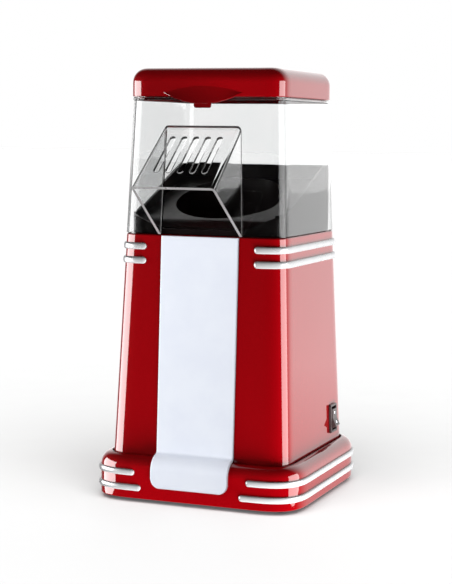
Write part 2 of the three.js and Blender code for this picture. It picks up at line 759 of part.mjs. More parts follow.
// Turns a piece drawn about +Z onto the leaning back wall of the body, at the cord inlet.
function ontoBack(geometry) {
  const upright = geometry.rotateX(WALL_LEAN - Math.PI / 2);
  return upright.translate(CORD_INLET.x, bodyHalf(CORD_INLET.z), CORD_INLET.z);
}

function cordOpening() {
  return ontoBack(disc(CORD_INLET.neckRadius + 2 * GAP, -6, 4, 0, 0, 16));
}

// Rubber bush that lines the cord's hole, with a flange each side of the wall.
function cordBush() {
  const { neckRadius, flangeRadius, boreRadius } = CORD_INLET;
  const inside = -BODY.wall - GAP;
  const profile = [
    [boreRadius, inside - 1.8],
    [flangeRadius - 1, inside - 1.8],
    [flangeRadius - 1, inside],
    [neckRadius, inside],
    [neckRadius, GAP],
    [flangeRadius, GAP],
    [flangeRadius - 0.6, 2.6],
    [boreRadius + 1.4, 5],
    [boreRadius, 5],
    [boreRadius, inside - 1.8],
  ];
  return ontoBack(turned(profile, 16));
}

// ---- The whole object ----

function mesh(name, geometry, look) {
  const part = new THREE.Mesh(geometry, new THREE.MeshStandardMaterial(LOOKS[look]));
  part.name = name;
  return part;
}

function placed(part, x, y, z) {
  part.position.set(x, y, z);
  return part;
}

// One mesh for each corner, named by number.
function inCorners(name, geometry, look, at, z) {
  const copies = CORNERS.map(([sx, sy], i) => {
    const copy = mesh(`${name}_${i + 1}`, geometry.clone(), look);
    return placed(copy, sx * at, sy * at, z);
  });
  return new THREE.Group().add(...copies);
}

// One mesh for each of the duct's three screw positions.
function inThirds(name, geometry, look, z) {
  const copies = THIRDS.map((angle, i) => {
    const copy = mesh(`${name}_${i + 1}`, geometry.clone(), look);
    return placed(copy, ...pointAt(DUCT_SCREW.radius, angle), z);
  });
  return new THREE.Group().add(...copies);
}

const base = new THREE.Group().add(
  mesh("base_skirt", baseSkirt(), "red"),
  mesh("base_trim_upper", baseTrim(BASE_TRIM.upperZ, BASE_TRIM.upperEnd), "silver"),
  mesh("base_trim_lower", baseTrim(BASE_TRIM.lowerZ, BASE_TRIM.lowerEnd), "silver"),
  mesh("bottom_cover", bottomCover(), "black"),
  inCorners("foot", foot(), "rubber", FOOT.at, 0),
  inCorners("skirt_screw", screw(SKIRT_SCREW.length), "steel", SKIRT_SCREW.at, BOTTOM_COVER.bottom - GAP),
);

const body = new THREE.Group().add(
  mesh("body_shell", bodyShell(), "red"),
  mesh("body_trim_upper", bodyTrim(BODY_TRIM.upperZ), "silver"),
  mesh("body_trim_lower", bodyTrim(BODY_TRIM.lowerZ), "silver"),
  mesh("front_slide", frontSlide(), "white"),
  mesh("switch_housing", switchHousing(), "black"),
  mesh("switch_rocker", switchRocker(), "black"),
  mesh("cord_bush", cordBush(), "rubber"),
  inCorners("body_screw", screw(BODY_SCREW.length), "steel", BODY_SCREW.at,
    LEDGE.top - LEDGE.thickness - GAP),
);

const works = new THREE.Group().add(
  mesh("popping_chamber", poppingChamber(), "aluminium"),
  mesh("air_duct", airDuct(), "black"),
  mesh("heater_former", heaterFormer(), "mica"),
  mesh("heater_coil", heaterCoil(), "wire"),
  mesh("thermostat", thermostat(), "steel"),
  mesh("thermal_fuse", thermalFuse(), "steel"),
  mesh("fan_impeller", fanImpeller(), "black"),
  mesh("motor_shaft", disc(SHAFT.radius, SHAFT.bottom, SHAFT.top, 0, 0, 16), "steel"),
  mesh("motor_can", motorCan(), "steel"),
  mesh("motor_bracket", motorBracket(), "steel"),
  mesh("rectifier_board", rectifierBoard(), "board"),
  inThirds("duct_screw", screw(DUCT_SCREW.length), "steel", DUCT.top - DUCT.flange - GAP),
  inThirds("bracket_screw", screw(DUCT_SCREW.length), "steel", BRACKET.bottom - GAP),
);

const top = new THREE.Group().add(
  mesh("clear_cover", clearCover(), "clear"),
  mesh("exit_hood", exitHood(), "clear"),
  mesh("inner_chute", innerChute(), "black"),
  mesh("top_cap", topCap(), "red"),
);

const machine = new THREE.Group().add(base, body, works, top);
machine.position.y = AXIS_Y;

export default new THREE.Group().add(machine);
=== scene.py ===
"""Looks for the hot-air popcorn maker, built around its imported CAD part.

Lengths in this script are in millimetres about the body's upright axis: x to the right, y to the
back and z up from the floor. place() turns them into the frame's metres.
"""

import json
import math

import bmesh
import bpy
from mathutils import Euler, Matrix, Vector

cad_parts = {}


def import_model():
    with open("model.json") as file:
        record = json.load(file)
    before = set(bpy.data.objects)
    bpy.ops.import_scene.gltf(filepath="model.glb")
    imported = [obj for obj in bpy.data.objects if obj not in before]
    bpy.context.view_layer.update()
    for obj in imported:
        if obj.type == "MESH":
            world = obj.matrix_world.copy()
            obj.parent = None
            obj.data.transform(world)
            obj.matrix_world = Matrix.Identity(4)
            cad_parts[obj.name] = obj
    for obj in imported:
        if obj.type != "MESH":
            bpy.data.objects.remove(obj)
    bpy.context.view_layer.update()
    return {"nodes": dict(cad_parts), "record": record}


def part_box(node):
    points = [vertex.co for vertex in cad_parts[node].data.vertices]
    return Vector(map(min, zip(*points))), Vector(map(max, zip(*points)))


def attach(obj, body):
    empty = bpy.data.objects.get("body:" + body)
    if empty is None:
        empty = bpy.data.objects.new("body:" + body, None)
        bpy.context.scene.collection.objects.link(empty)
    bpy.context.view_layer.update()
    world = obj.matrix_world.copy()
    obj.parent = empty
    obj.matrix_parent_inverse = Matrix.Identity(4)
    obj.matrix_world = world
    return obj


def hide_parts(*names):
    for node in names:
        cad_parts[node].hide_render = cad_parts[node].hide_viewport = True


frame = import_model()

MM = 0.001
AXIS_Y = sum(corner.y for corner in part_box("body_shell")) / 2
CORNER_STEPS = 20  # facets round a quarter turn of an upright corner
CORNER_REACH = 1.45  # how much further than its radius a corner starts to bend
SHARP_ANGLE = math.radians(32)  # edges that turn further stay crisp
GAP = 0.3  # air between neighbouring pieces


def node_span(node, axis):
    """Lowest and highest value of a CAD node along an axis, in this script's millimetres."""
    shift = AXIS_Y if axis == 1 else 0
    low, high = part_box(node)
    return (low[axis] - shift) / MM, (high[axis] - shift) / MM


BASE_BOTTOM, BASE_TOP = node_span("base_skirt", 2)
BASE_HALF = node_span("base_skirt", 0)[1]
BODY_BOTTOM, BODY_TOP = node_span("body_shell", 2)
COVER_BOTTOM, COVER_TOP = node_span("clear_cover", 2)
CAP_TOP = node_span("top_cap", 2)[1]
CAP_HALF = node_span("top_cap", 0)[1]
HOOD_TIP_Y = node_span("exit_hood", 1)[0]
HOOD_TOP = node_span("exit_hood", 2)[1]
CHUTE_THROAT, CHUTE_TOP = node_span("inner_chute", 2)
CHUTE_BOTTOM = COVER_BOTTOM
SLIDE_BOTTOM, SLIDE_TOP = node_span("front_slide", 2)

BASE = {"corner": 24, "edge": 9, "wall": 2.6, "gap": 1.5}
LEDGE = {"top": 27.2, "thickness": 2.6, "half": 56, "corner": 20}
BODY = {"half_low": 67.3, "half_top": 61, "low_z": 32, "corner": 13.5, "wall": 2.6, "mouth": 47}
COVER = {"half_top": 57.2, "wall": 2, "corner": 13}
CAP = {"bottom": 285, "corner": 13.5, "edge": 10, "wall": 2.4}
COLLAR = {"bottom": 282.4, "half": 54.4, "corner": 11}
TAB = {"half": 29.5, "tip_z": 287.6, "crown_z": 292.2, "sill_z": 279.9, "proud": 1.3}
TONGUE = {"half": 6.5, "bottom": 277.2}
HOOD = {"half_low": 31.5, "half_top": 29, "tip_z": 224, "wall": 2, "fillet": 3.2}
SLOTS = {"count": 5, "pitch": 8.75, "width": 4.4, "start": 12, "end": 51}
SLIDE = {"half": 29, "corner": 7, "proud": 1, "thickness": 2, "rim": 0.8, "foot_bend": 2.4}
BODY_TRIM = {"height": 4.8, "proud": 1.6, "front_ends": {"upper": 40.5, "lower": 40.5}}
BASE_TRIM = {"height": 4.4, "proud": 1.6, "front_ends": {"upper": 42, "lower": 37}}
CHUTE = {"half": 56.6, "corner": 11, "wall": 2, "mouth": 41}
THROAT = {"radius": 33, "cone_bottom": 188, "cone_top": 197}
CHUTE_DECK = [(-54.6, 192.6), (-45, 199), (42, 226.5)]
CHUTE_SIDES = [(-70, 180), (-70, 204), (-45, 204), (37, CHUTE_TOP), (37, CHUTE_TOP + 1),
               (70, CHUTE_TOP + 1), (70, 180)]
CHUTE_UNDERSIDE = [(-54.6, 180), (-54.6, 189.9), (-45.8, 196.2), (44, 224.6),
                   (44, CHUTE_TOP - CHUTE["wall"]), (54.6, CHUTE_TOP - CHUTE["wall"]), (54.6, 180)]
CHUTE_LIP = [(-60, 205.5), (-30, 192.8), (30, 192.8), (60, 205.5), (60, 260), (-60, 260)]
SWITCH = {"y": 37.5, "z": 50, "bezel_y": 7.5, "bezel_z": 10.5, "proud": 1.9, "depth": 15}
SWITCH_BODY = {"half_y": 6.3, "half_z": 9.5}
SWITCH_POCKET = {"half_y": 5.25, "half_z": 8.75, "depth": 8}
ROCKER = {"half_y": 4.9, "half_z": 7.8, "face_z": 6.3, "crown": 2.4, "pivot": -1, "throw": 22}
MARKS = {"z": 3.4, "bar_half": 0.9, "bar_half_width": 0.2, "ring_inner": 0.6, "ring_outer": 0.95}
CORD_INLET = {"x": -34, "z": 46, "radius": 6.8}
CHAMBER = {"radius": 36.5, "wall": 1.2, "floor_z": 98.8, "rim_z": 180.3, "rim": 46, "louvres": 12}
WALL_LEAN = math.atan((BODY["half_low"] - BODY["half_top"]) / (BODY_TOP - BODY["low_z"]))


def place(point):
    x, y, z = point
    return (x * MM, AXIS_Y + y * MM, z * MM)


def mix(a, b, t):
    return a + (b - a) * t


def body_half(z):
    return BODY["half_top"] + (BODY_TOP - z) * math.tan(WALL_LEAN)


def cover_half(z):
    return mix(BODY["half_top"], COVER["half_top"], (z - BODY_TOP) / (COVER_TOP - BODY_TOP))


def hood_half(z):
    return mix(HOOD["half_low"], HOOD["half_top"], (z - BODY_TOP) / (HOOD_TOP - BODY_TOP))


# ---- Meshes ----


def new_object(name, points, faces):
    """Closed smooth object from points in millimetres; its faces are turned outwards."""
    mesh = bpy.data.meshes.new(name)
    mesh.from_pydata([place(point) for point in points], [], faces)
    work = bmesh.new()
    work.from_mesh(mesh)
    bmesh.ops.remove_doubles(work, verts=work.verts, dist=1e-6)
    bmesh.ops.recalc_face_normals(work, faces=work.faces)
    work.to_mesh(mesh)
    work.free()
    obj = bpy.data.objects.new(name, mesh)
    bpy.context.scene.collection.objects.link(obj)
    return obj


def skin(rings, closed=False, lids=True):
    """Points and faces over equal rings of points: closed joins the last ring to the first."""
    count = len(rings[0])
    points = [point for ring in rings for point in ring]
    faces = []
    for low in range(len(rings) if closed else len(rings) - 1):
        high = (low + 1) % len(rings)
        for i in range(count):
            j = (i + 1) % count
            faces.append((low * count + i, low * count + j, high * count + j, high * count + i))
    if lids and not closed:
        last = (len(rings) - 1) * count
        faces.append(tuple(reversed(range(count))))
        faces.append(tuple(last + i for i in range(count)))
    return points, faces


def corner_walk(half, corner):
    """Points and outward directions round a rounded square, from its front right corner.

    Each corner bends gradually, as moulded corners do, and cuts off as much as an arc of the given
    radius would. Equal half and corner give a circle.
    """
    reach = min(CORNER_REACH * corner, half)
    power = -math.log(2) / math.log(1 - (1 - math.sqrt(0.5)) * corner / reach)
    walk = []
    for quarter in range(4):
        turn = Matrix.Rotation(math.pi / 2 * (quarter - 1), 2)
        for i in range(CORNER_STEPS + 1):
            angle = math.pi / 2 * i / CORNER_STEPS
            u, v = abs(math.cos(angle)) ** (2 / power), abs(math.sin(angle)) ** (2 / power)
            spot = Vector((half - reach + reach * u, half - reach + reach * v))
            way = Vector((u ** (power - 1), v ** (power - 1))).normalized()
            walk.append((*(turn @ spot), *(turn @ way)))
    return walk


def square_ring(half, corner, z):
    return [(x, y, z) for x, y, _, _ in corner_walk(half, corner)]


def square_loft(name, sections, closed=False):
    return new_object(name, *skin([square_ring(*section) for section in sections], closed))


def edge(half, corner, z, radius, steps, turn=1):
    """Sections of an outer edge that curves from upright to level at z; turn -1 is a lower edge."""
    sections = []
    for i in range(steps + 1):
        angle = math.pi / 2 * i / steps
        inset = radius * (1 - math.cos(angle))
        sections.append((half - inset, corner - inset, z - turn * radius * (1 - math.sin(angle))))
    return sections if turn > 0 else sections[::-1]


def arc(centre_a, centre_b, radius, from_deg, to_deg, steps):
    angles = [math.radians(mix(from_deg, to_deg, i / steps)) for i in range(steps + 1)]
    return [(centre_a + radius * math.cos(a), centre_b + radius * math.sin(a)) for a in angles]


def prism(name, outline, low, high, axis):
    """Outline extruded along axis: [y, z] pairs along x, or [x, z] pairs along y, or [x, y] along z."""
    def at(pair, depth):
        values = list(pair)
        values.insert(axis, depth)
        return tuple(values)
    rings = [[at(pair, depth) for pair in outline] for depth in (low, high)]
    return new_object(name, *skin(rings))


def turned(name, profile, segments=72):
    """Solid of revolution about the upright axis, from (radius, z) pairs that start and end on it."""
    rings = []
    for radius, z in profile:
        steps = [2 * math.pi * i / segments for i in range(segments)]
        rings.append([(radius * math.cos(a), radius * math.sin(a), z) for a in steps])
    return new_object(name, *skin(rings, lids=False))


def bake(obj):
    """Replaces an object's mesh by the one its modifiers make."""
    graph = bpy.context.evaluated_depsgraph_get()
    graph.update()
    mesh = bpy.data.meshes.new_from_object(obj.evaluated_get(graph))
    obj.modifiers.clear()
    obj.data = mesh
    return obj


def boolean(obj, other, operation):
    step = obj.modifiers.new("boolean", "BOOLEAN")
    step.operation = operation
    step.solver = "EXACT"
    step.object = other
    bake(obj)
    bpy.data.objects.remove(other)
    return obj


def cut(obj, *cutters):
    for cutter in cutters:
        boolean(obj, cutter, "DIFFERENCE")
    return obj


def tidy(obj):
    """Merges flat neighbours, so that bevels and highlights run along the real edges only."""
    work = bmesh.new()
    work.from_mesh(obj.data)
    bmesh.ops.remove_doubles(work, verts=work.verts, dist=2e-6)
    flat = math.radians(0.5)
    bmesh.ops.dissolve_limit(work, angle_limit=flat, verts=work.verts, edges=work.edges)
    work.to_mesh(obj.data)
    work.free()
    return obj


def bevel(obj, width, segments):
    step = obj.modifiers.new("bevel", "BEVEL")
    step.width = width * MM
    step.segments = segments
    step.limit_method = "ANGLE"
    step.angle_limit = math.radians(35)
    step.use_clamp_overlap = True
    return bake(obj)


def smooth(obj):
    """Smooth shading with crisp edges, in which the large flat faces keep their own direction."""
    obj.data.polygons.foreach_set("use_smooth", [True] * len(obj.data.polygons))
    obj.data.set_sharp_from_angle(angle=SHARP_ANGLE)
    step = obj.modifiers.new("weighted normals", "WEIGHTED_NORMAL")
    step.keep_sharp = True
    return obj


def finish_piece(obj, body, slot, *nodes):
    """Shades a piece, lets it ride on its body and stand for its nodes, and fills in its material."""
    smooth(obj)
    if not obj.data.materials:
        obj.data.materials.append(MATERIALS[slot])
    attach(obj, body)
    if nodes:
        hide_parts(*nodes)
    return obj


# ---- Materials ----


def remap(tree, value, source, target):
    """Socket that maps a value linearly from one range onto another, and stays within it."""
    span = tree.nodes.new("ShaderNodeMapRange")
    limits = zip(("From Min", "From Max", "To Min", "To Max"), (*source, *target))
    for name, limit in limits:
        span.inputs[name].default_value = limit
    tree.links.new(value, span.inputs["Value"])
    return span.outputs["Result"]


class Nodes:
    """Short hand for a material's node tree, with coordinates in metres on the piece."""

    def __init__(self, name):
        self.material = bpy.data.materials.new(name)
        self.material.use_nodes = True
        self.tree = self.material.node_tree
        self.shader = self.tree.nodes["Principled BSDF"]
        self.place = self.add("ShaderNodeTexCoord").outputs["Object"]

    def add(self, kind, **settings):
        node = self.tree.nodes.new(kind)
        for key, value in settings.items():
            setattr(node, key, value)
        return node

    def link(self, source, target):
        self.tree.links.new(source, target)

    def set(self, **values):
        for name, value in values.items():
            self.shader.inputs[name.replace("_", " ")].default_value = value
        return self

    def noise(self, per_mm, detail=3.0, stretch=(1, 1, 1)):
        """Noise with about per_mm blobs in a millimetre."""
        scale = self.add("ShaderNodeMapping")
        scale.inputs["Scale"].default_value = [s / MM * per_mm for s in stretch]
        noise = self.add("ShaderNodeTexNoise")
        noise.inputs["Scale"].default_value = 1.0
        noise.inputs["Detail"].default_value = detail
        self.link(self.place, scale.inputs["Vector"])
        self.link(scale.outputs["Vector"], noise.inputs["Vector"])
        return noise.outputs["Fac"]

    def spread(self, value, low, high):
        """Maps a noise value, which keeps near its middle, onto low to high."""
        return remap(self.tree, value, (0.3, 0.7), (low, high))

    def tint(self, value, first, second):
        ramp = self.add("ShaderNodeValToRGB")
        ramp.color_ramp.elements[0].color = (*first, 1)
        ramp.color_ramp.elements[1].color = (*second, 1)
        ramp.color_ramp.elements[0].position = 0.35
        ramp.color_ramp.elements[1].position = 0.65
        self.link(value, ramp.inputs["Fac"])
        self.link(ramp.outputs["Color"], self.shader.inputs["Base Color"])
        return self

    def rough(self, value, low, high):
        self.link(self.spread(value, low, high), self.shader.inputs["Roughness"])
        return self

    def bump(self, value, depth_mm):
        bump = self.add("ShaderNodeBump")
        bump.inputs["Distance"].default_value = depth_mm * MM
        self.link(value, bump.inputs["Height"])
        self.link(bump.outputs["Normal"], self.shader.inputs["Normal"])
        return self


def candy_red():
    nodes = Nodes("candy red")
    nodes.set(Metallic=0.7, Coat_Weight=1.0, Coat_Roughness=0.02, Coat_IOR=1.8)
    nodes.set(Specular_Tint=(0.8, 0.01, 0.03, 1))
    nodes.tint(nodes.noise(2.5, 2.0), (0.165, 0.0, 0.001), (0.195, 0.0, 0.002))
    nodes.rough(nodes.noise(0.02), 0.60, 0.66)
    return nodes.bump(nodes.noise(0.25, 2.0), 0.004).material


def white_plastic():
    nodes = Nodes("white plastic")
    nodes.tint(nodes.noise(0.05), (0.83, 0.87, 0.965), (0.86, 0.90, 0.985))
    nodes.rough(nodes.noise(0.1), 0.30, 0.40)
    return nodes.bump(nodes.noise(0.8, 2.0), 0.004).material


def clear_plastic():
    nodes = Nodes("clear plastic")
    nodes.set(Transmission_Weight=1.0, IOR=1.58)
    nodes.tint(nodes.noise(0.03), (0.97, 0.98, 0.98), (0.99, 0.99, 0.99))
    nodes.rough(nodes.noise(0.08), 0.0, 0.03)
    return nodes.bump(nodes.noise(0.04, 2.0), 0.01).material


def black_plastic(name, specular, smoothest):
    nodes = Nodes(name)
    nodes.set(Specular_IOR_Level=specular)
    nodes.tint(nodes.noise(0.1), (0.010, 0.006, 0.006), (0.014, 0.009, 0.009))
    nodes.rough(nodes.noise(0.15), smoothest, smoothest + 0.08)
    return nodes.bump(nodes.noise(0.3, 2.0), 0.006).material


def black_moulding():
    nodes = Nodes("black moulding")
    nodes.tint(nodes.noise(0.4), (0.030, 0.030, 0.031), (0.045, 0.045, 0.046))
    nodes.rough(nodes.noise(0.3), 0.55, 0.7)
    return nodes.bump(nodes.noise(1.6, 4.0), 0.03).material


def rubber():
    nodes = Nodes("rubber")
    nodes.tint(nodes.noise(0.3), (0.025, 0.025, 0.025), (0.045, 0.044, 0.043))
    nodes.rough(nodes.noise(0.6), 0.75, 0.92)
    return nodes.bump(nodes.noise(1.2, 5.0), 0.05).material


def silver_trim():
    nodes = Nodes("silver trim")
    nodes.set(Metallic=0.65)
    nodes.tint(nodes.noise(0.1), (0.28, 0.285, 0.29), (0.31, 0.31, 0.315))
    nodes.rough(nodes.noise(0.05), 0.26, 0.30)
    return nodes.bump(nodes.noise(0.05), 0.002).material


def zinc_steel():
    nodes = Nodes("zinc plated steel")
    nodes.set(Metallic=1.0)
    nodes.tint(nodes.noise(0.2), (0.55, 0.56, 0.57), (0.72, 0.72, 0.71))
    nodes.rough(nodes.noise(0.5), 0.28, 0.45)
    return nodes.bump(nodes.noise(1.0, 3.0), 0.01).material


def satin_aluminium():
    nodes = Nodes("satin aluminium")
    nodes.set(Metallic=1.0)
    nodes.tint(nodes.noise(0.08), (0.66, 0.67, 0.68), (0.78, 0.79, 0.79))
    nodes.rough(nodes.noise(0.4, 3.0, (1, 1, 0.05)), 0.30, 0.45)
    return nodes.bump(nodes.noise(0.8, 3.0, (0.1, 0.1, 3)), 0.01).material


def mica():
    nodes = Nodes("mica")
    nodes.tint(nodes.noise(0.15, 5.0), (0.42, 0.31, 0.17), (0.62, 0.50, 0.31))
    nodes.rough(nodes.noise(0.3), 0.5, 0.75)
    return nodes.bump(nodes.noise(0.5, 6.0), 0.06).material


def circuit_board():
    nodes = Nodes("circuit board")
    nodes.tint(nodes.noise(0.25), (0.02, 0.16, 0.06), (0.04, 0.24, 0.10))
    nodes.rough(nodes.noise(0.5), 0.35, 0.5)
    return nodes.bump(nodes.noise(0.7, 3.0), 0.03).material


def painted_glow_edge():
    """Cut or moulded edge of a clear piece, coloured whitish as a painted glow: the pale colour stands
    in for the light that the clear wall carries out to its edges.
    """
    nodes = Nodes("clear edge painted glow")
    nodes.set(Transmission_Weight=0.4, IOR=1.5)
    # whitish base colour: a painted glow along the clear edges
    nodes.tint(nodes.noise(0.3), (0.93, 0.90, 0.91), (0.97, 0.96, 0.96))
    nodes.rough(nodes.noise(0.3), 0.25, 0.4)
    return nodes.bump(nodes.noise(0.4, 2.0), 0.01).material


MATERIALS = {
    "red_plastic": candy_red(),
    "silver_trim": silver_trim(),
    "white_plastic": white_plastic(),
    "clear_plastic": clear_plastic(),
    "black_plastic": black_plastic("black plastic", 0.4, 0.14),
    "black_moulding": black_moulding(),
    "rubber": rubber(),
    "steel": zinc_steel(),
    "aluminium": satin_aluminium(),
    "mica": mica(),
    "board": circuit_board(),
}

for part in frame["record"]["subparts"]:
    carried = frame["nodes"][part["node"]]
    carried.data.materials.clear()
    carried.data.materials.append(MATERIALS[part["material_slot"]])
    carried.data.polygons.foreach_set("use_smooth", [True] * len(carried.data.polygons))
    carried.modifiers.new("weld", "WELD").merge_threshold = 1e-6
    carried.modifiers.new("crisp edges", "EDGE_SPLIT").split_angle = SHARP_ANGLE


# ---- Base and body ----


def base_skirt():
    corner, radius, wall = BASE["corner"], BASE["edge"], BASE["wall"]
    opening = body_half(BASE_TOP) + BASE["gap"]
    opening_corner = BODY["corner"] + BASE["gap"]
    inner_edge = BASE_HALF - wall - opening
    ledge_bottom = LEDGE["top"] - LEDGE["thickness"]
    inside = edge(BASE_HALF - wall, corner - wall, BASE_TOP - wall, inner_edge, 4)[::-1]
    sections = [
        *edge(BASE_HALF, corner, BASE_BOTTOM, 0.8, 3, turn=-1),
        *edge(BASE_HALF, corner, BASE_TOP, radius, 14)[:-1],
        (opening + 0.6, opening_corner + 0.6, BASE_TOP),
        (opening + 0.15, opening_corner + 0.15, BASE_TOP - 0.15),
        (opening, opening_corner, BASE_TOP - 0.6),
        (opening, opening_corner, LEDGE["top"]),
        (LEDGE["half"], LEDGE["corner"], LEDGE["top"]),
        (LEDGE["half"], LEDGE["corner"], ledge_bottom),
        (opening + 2, opening_corner + 2, ledge_bottom),
        (opening + 2, opening_corner + 2, BASE_TOP - wall - 0.5),
        *inside[1:],
        (BASE_HALF - wall, corner - wall, BASE_BOTTOM),
    ]
    return square_loft("base_skirt_looks", sections, closed=True)


def body_shell():
    corner, wall = BODY["corner"], BODY["wall"]
    deck = BODY_TOP - wall
    shell = square_loft(
        "body_shell_looks",
        [
            (body_half(BODY_BOTTOM), corner, BODY_BOTTOM),
            *edge(body_half(BODY_TOP), corner, BODY_TOP, 1.2, 4),
            (50, corner, BODY_TOP),
            (BODY["mouth"] + 0.4, BODY["mouth"] + 0.4, BODY_TOP),
            (BODY["mouth"], BODY["mouth"], BODY_TOP - 0.4),
            (BODY["mouth"], BODY["mouth"], deck),
            (body_half(BODY_TOP) - wall, corner - wall, deck),
            (body_half(BODY_BOTTOM) - wall, corner - wall, BODY_BOTTOM),
        ],
        closed=True,
    )
    return cut(shell, slide_recess(), switch_opening(), cord_opening())


def slide_recess():
    depth = SLIDE["thickness"] - SLIDE["proud"] + GAP
    outline = [
        (-body_half(BASE_TOP) - 5, BASE_TOP),
        (-body_half(BASE_TOP) + depth, BASE_TOP),
        (-body_half(BODY_TOP + 2) + depth, BODY_TOP + 2),
        (-body_half(BASE_TOP) - 5, BODY_TOP + 2),
    ]
    reach = SLIDE["half"] + GAP
    return prism("recess", outline, -reach, reach, 0)


def onto_side(points):
    """Points drawn on a wall at x = 0 that faces +x, turned onto the body's leaning right side."""
    turn = Matrix.Rotation(-WALL_LEAN, 4, "Y")
    shift = Vector((body_half(SWITCH["z"]), SWITCH["y"], SWITCH["z"]))
    return [tuple(turn @ Vector(point) + shift) for point in points]


def block(x0, x1, half_y, half_z):
    ring = [(-half_y, -half_z), (half_y, -half_z), (half_y, half_z), (-half_y, half_z)]
    return skin([[(x, y, z) for y, z in ring] for x in (x0, x1)])


def switch_opening():
    points, faces = block(-6, 4, SWITCH_BODY["half_y"] + GAP, SWITCH_BODY["half_z"] + GAP)
    return new_object("switch opening", onto_side(points), faces)


def cord_opening():
    ring = arc(CORD_INLET["x"], CORD_INLET["z"], CORD_INLET["radius"], 0, 345, 23)
    return prism("cord opening", ring, 50, 80, 1)


def slide_path():
    """Outer line of the slide as (y, z, outward y, outward z), from its top to its foot."""
    edge_y, edge_z = -(BASE_HALF - BASE["edge"]), BASE_TOP - BASE["edge"]
    radius = BASE["edge"] + SLIDE["thickness"]
    bend = edge_z + radius
    lean = (-math.cos(WALL_LEAN), math.sin(WALL_LEAN))
    turn = SLIDE["foot_bend"]
    path = []
    for z in [SLIDE_TOP, SLIDE_TOP - 0.3, SLIDE_TOP - SLIDE["rim"], 150, 100, 60, bend + turn]:
        path.append((-body_half(z) - SLIDE["proud"], z, *lean))
    start_y = -body_half(bend) - SLIDE["proud"]
    for i in range(1, 8):
        angle = math.radians(mix(0, 90, i / 8))
        y = start_y - turn * (1 - math.cos(angle)) * 0.75
        z = bend + turn * (1 - math.sin(angle)) * 0.9
        path.append((y, z, -math.cos(angle), math.sin(angle)))
    for i in range(2, 15):
        angle = math.radians(mix(90, 180, i / 14))
        outward = (math.cos(angle), math.sin(angle))
        path.append((edge_y + radius * outward[0], edge_z + radius * outward[1], *outward))
    for lift in [8, 7, 6, 5, 4, 3, 2.2, 1.5, 0.9, 0.45, 0.15, 0]:
        path.append((edge_y - radius, SLIDE_BOTTOM + lift, -1, 0))
    return path


def slide_ring(y, z, out_y, out_z, half, drop):
    """Ring round the slide at one station: flat outside and inside, with rounded side edges."""
    depth = SLIDE["thickness"] - GAP / 2
    rim = SLIDE["rim"]
    profile = []
    for i in range(6):
        angle = math.radians(mix(180, 90, i / 5))
        profile.append((-half + rim + rim * math.cos(angle), rim * math.sin(angle) - rim))
    profile += [(half * k / 4, 0) for k in (-2, 0, 2)]
    for i in range(6):
        angle = math.radians(mix(90, 0, i / 5))
        profile.append((half - rim + rim * math.cos(angle), rim * math.sin(angle) - rim))
    profile += [(half, -depth), (-half, -depth)]
    ring = []
    for x, offset in profile:
        offset = min(offset, -drop)
        ring.append((x, y + offset * out_y, z + offset * out_z))
    return ring


def front_slide():
    rings, rim = [], SLIDE["rim"]
    for y, z, out_y, out_z in slide_path():
        near_foot = max(0.0, SLIDE["corner"] - (z - SLIDE_BOTTOM))
        half = SLIDE["half"] - SLIDE["corner"] + math.sqrt(SLIDE["corner"] ** 2 - near_foot**2)
        end = min(z - SLIDE_BOTTOM, SLIDE_TOP - z)
        drop = rim - math.sqrt(max(0.0, rim**2 - max(0.0, rim - end) ** 2))
        rings.append(slide_ring(y, z, out_y, out_z, half, drop))
    return new_object("front_slide_looks", *skin(rings))


def outline_walk(half, corner, front_end):
    """Points and outward directions along a rounded square, from its front right to its front left."""
    ends = [front_end + d for d in (0, 0.1, 0.35, 0.7, 1.2, 1.8, 2.6)]
    walk = [(x, -half, 0, -1) for x in ends]
    walk += [spot for spot in corner_walk(half, corner) if abs(spot[0]) > ends[-1] or spot[1] > 0]
    walk += [(-x, -half, 0, -1) for x in reversed(ends)]
    return walk


def trim_band(name, half_at, corner, z, front_end, shape):
    """Raised band with a rounded face, round from one front corner to the other, with round ends."""
    rise = shape["height"] / 2
    bulge = arc(0, 0, 1, 0, 180, 12)
    rings = []
    for x, y, out_x, out_y in outline_walk(half_at(z), corner, front_end):
        into = abs(x) - front_end if y < -half_at(z) + 1 else rise
        share = math.sqrt(max(0.0, 1 - (1 - min(1.0, into / rise)) ** 2))
        ring = []
        for along, up in bulge:
            high = -along * rise * share
            proud = shape["proud"] * (0.25 + 0.75 * up**0.8) * max(share, 0.3)
            lean = half_at(z + high) - half_at(z)
            ring.append((x + out_x * (proud + lean), y + out_y * (proud + lean), z + high))
        for high in (rise * share, -rise * share):
            lean = half_at(z + high) - half_at(z) + 0.05
            ring.append((x + out_x * lean, y + out_y * lean, z + high))
        rings.append(ring)
    return new_object(name, *skin(rings))


def trims():
    for part, half_at, corner, shape in [
        ("body", body_half, BODY["corner"], BODY_TRIM),
        ("base", lambda z: BASE_HALF, BASE["corner"], BASE_TRIM),
    ]:
        for which, front_end in shape["front_ends"].items():
            node = f"{part}_trim_{which}"
            z = sum(node_span(node, 2)) / 2
            band = trim_band(f"{node}_looks", half_at, corner, z, front_end, shape)
            finish_piece(band, "machine", "silver_trim", node)


finish_piece(base_skirt(), "machine", "red_plastic", "base_skirt")
finish_piece(body_shell(), "machine", "red_plastic", "body_shell")
finish_piece(front_slide(), "machine", "white_plastic", "front_slide")
trims()


# ---- Clear cover, exit hood and cap ----


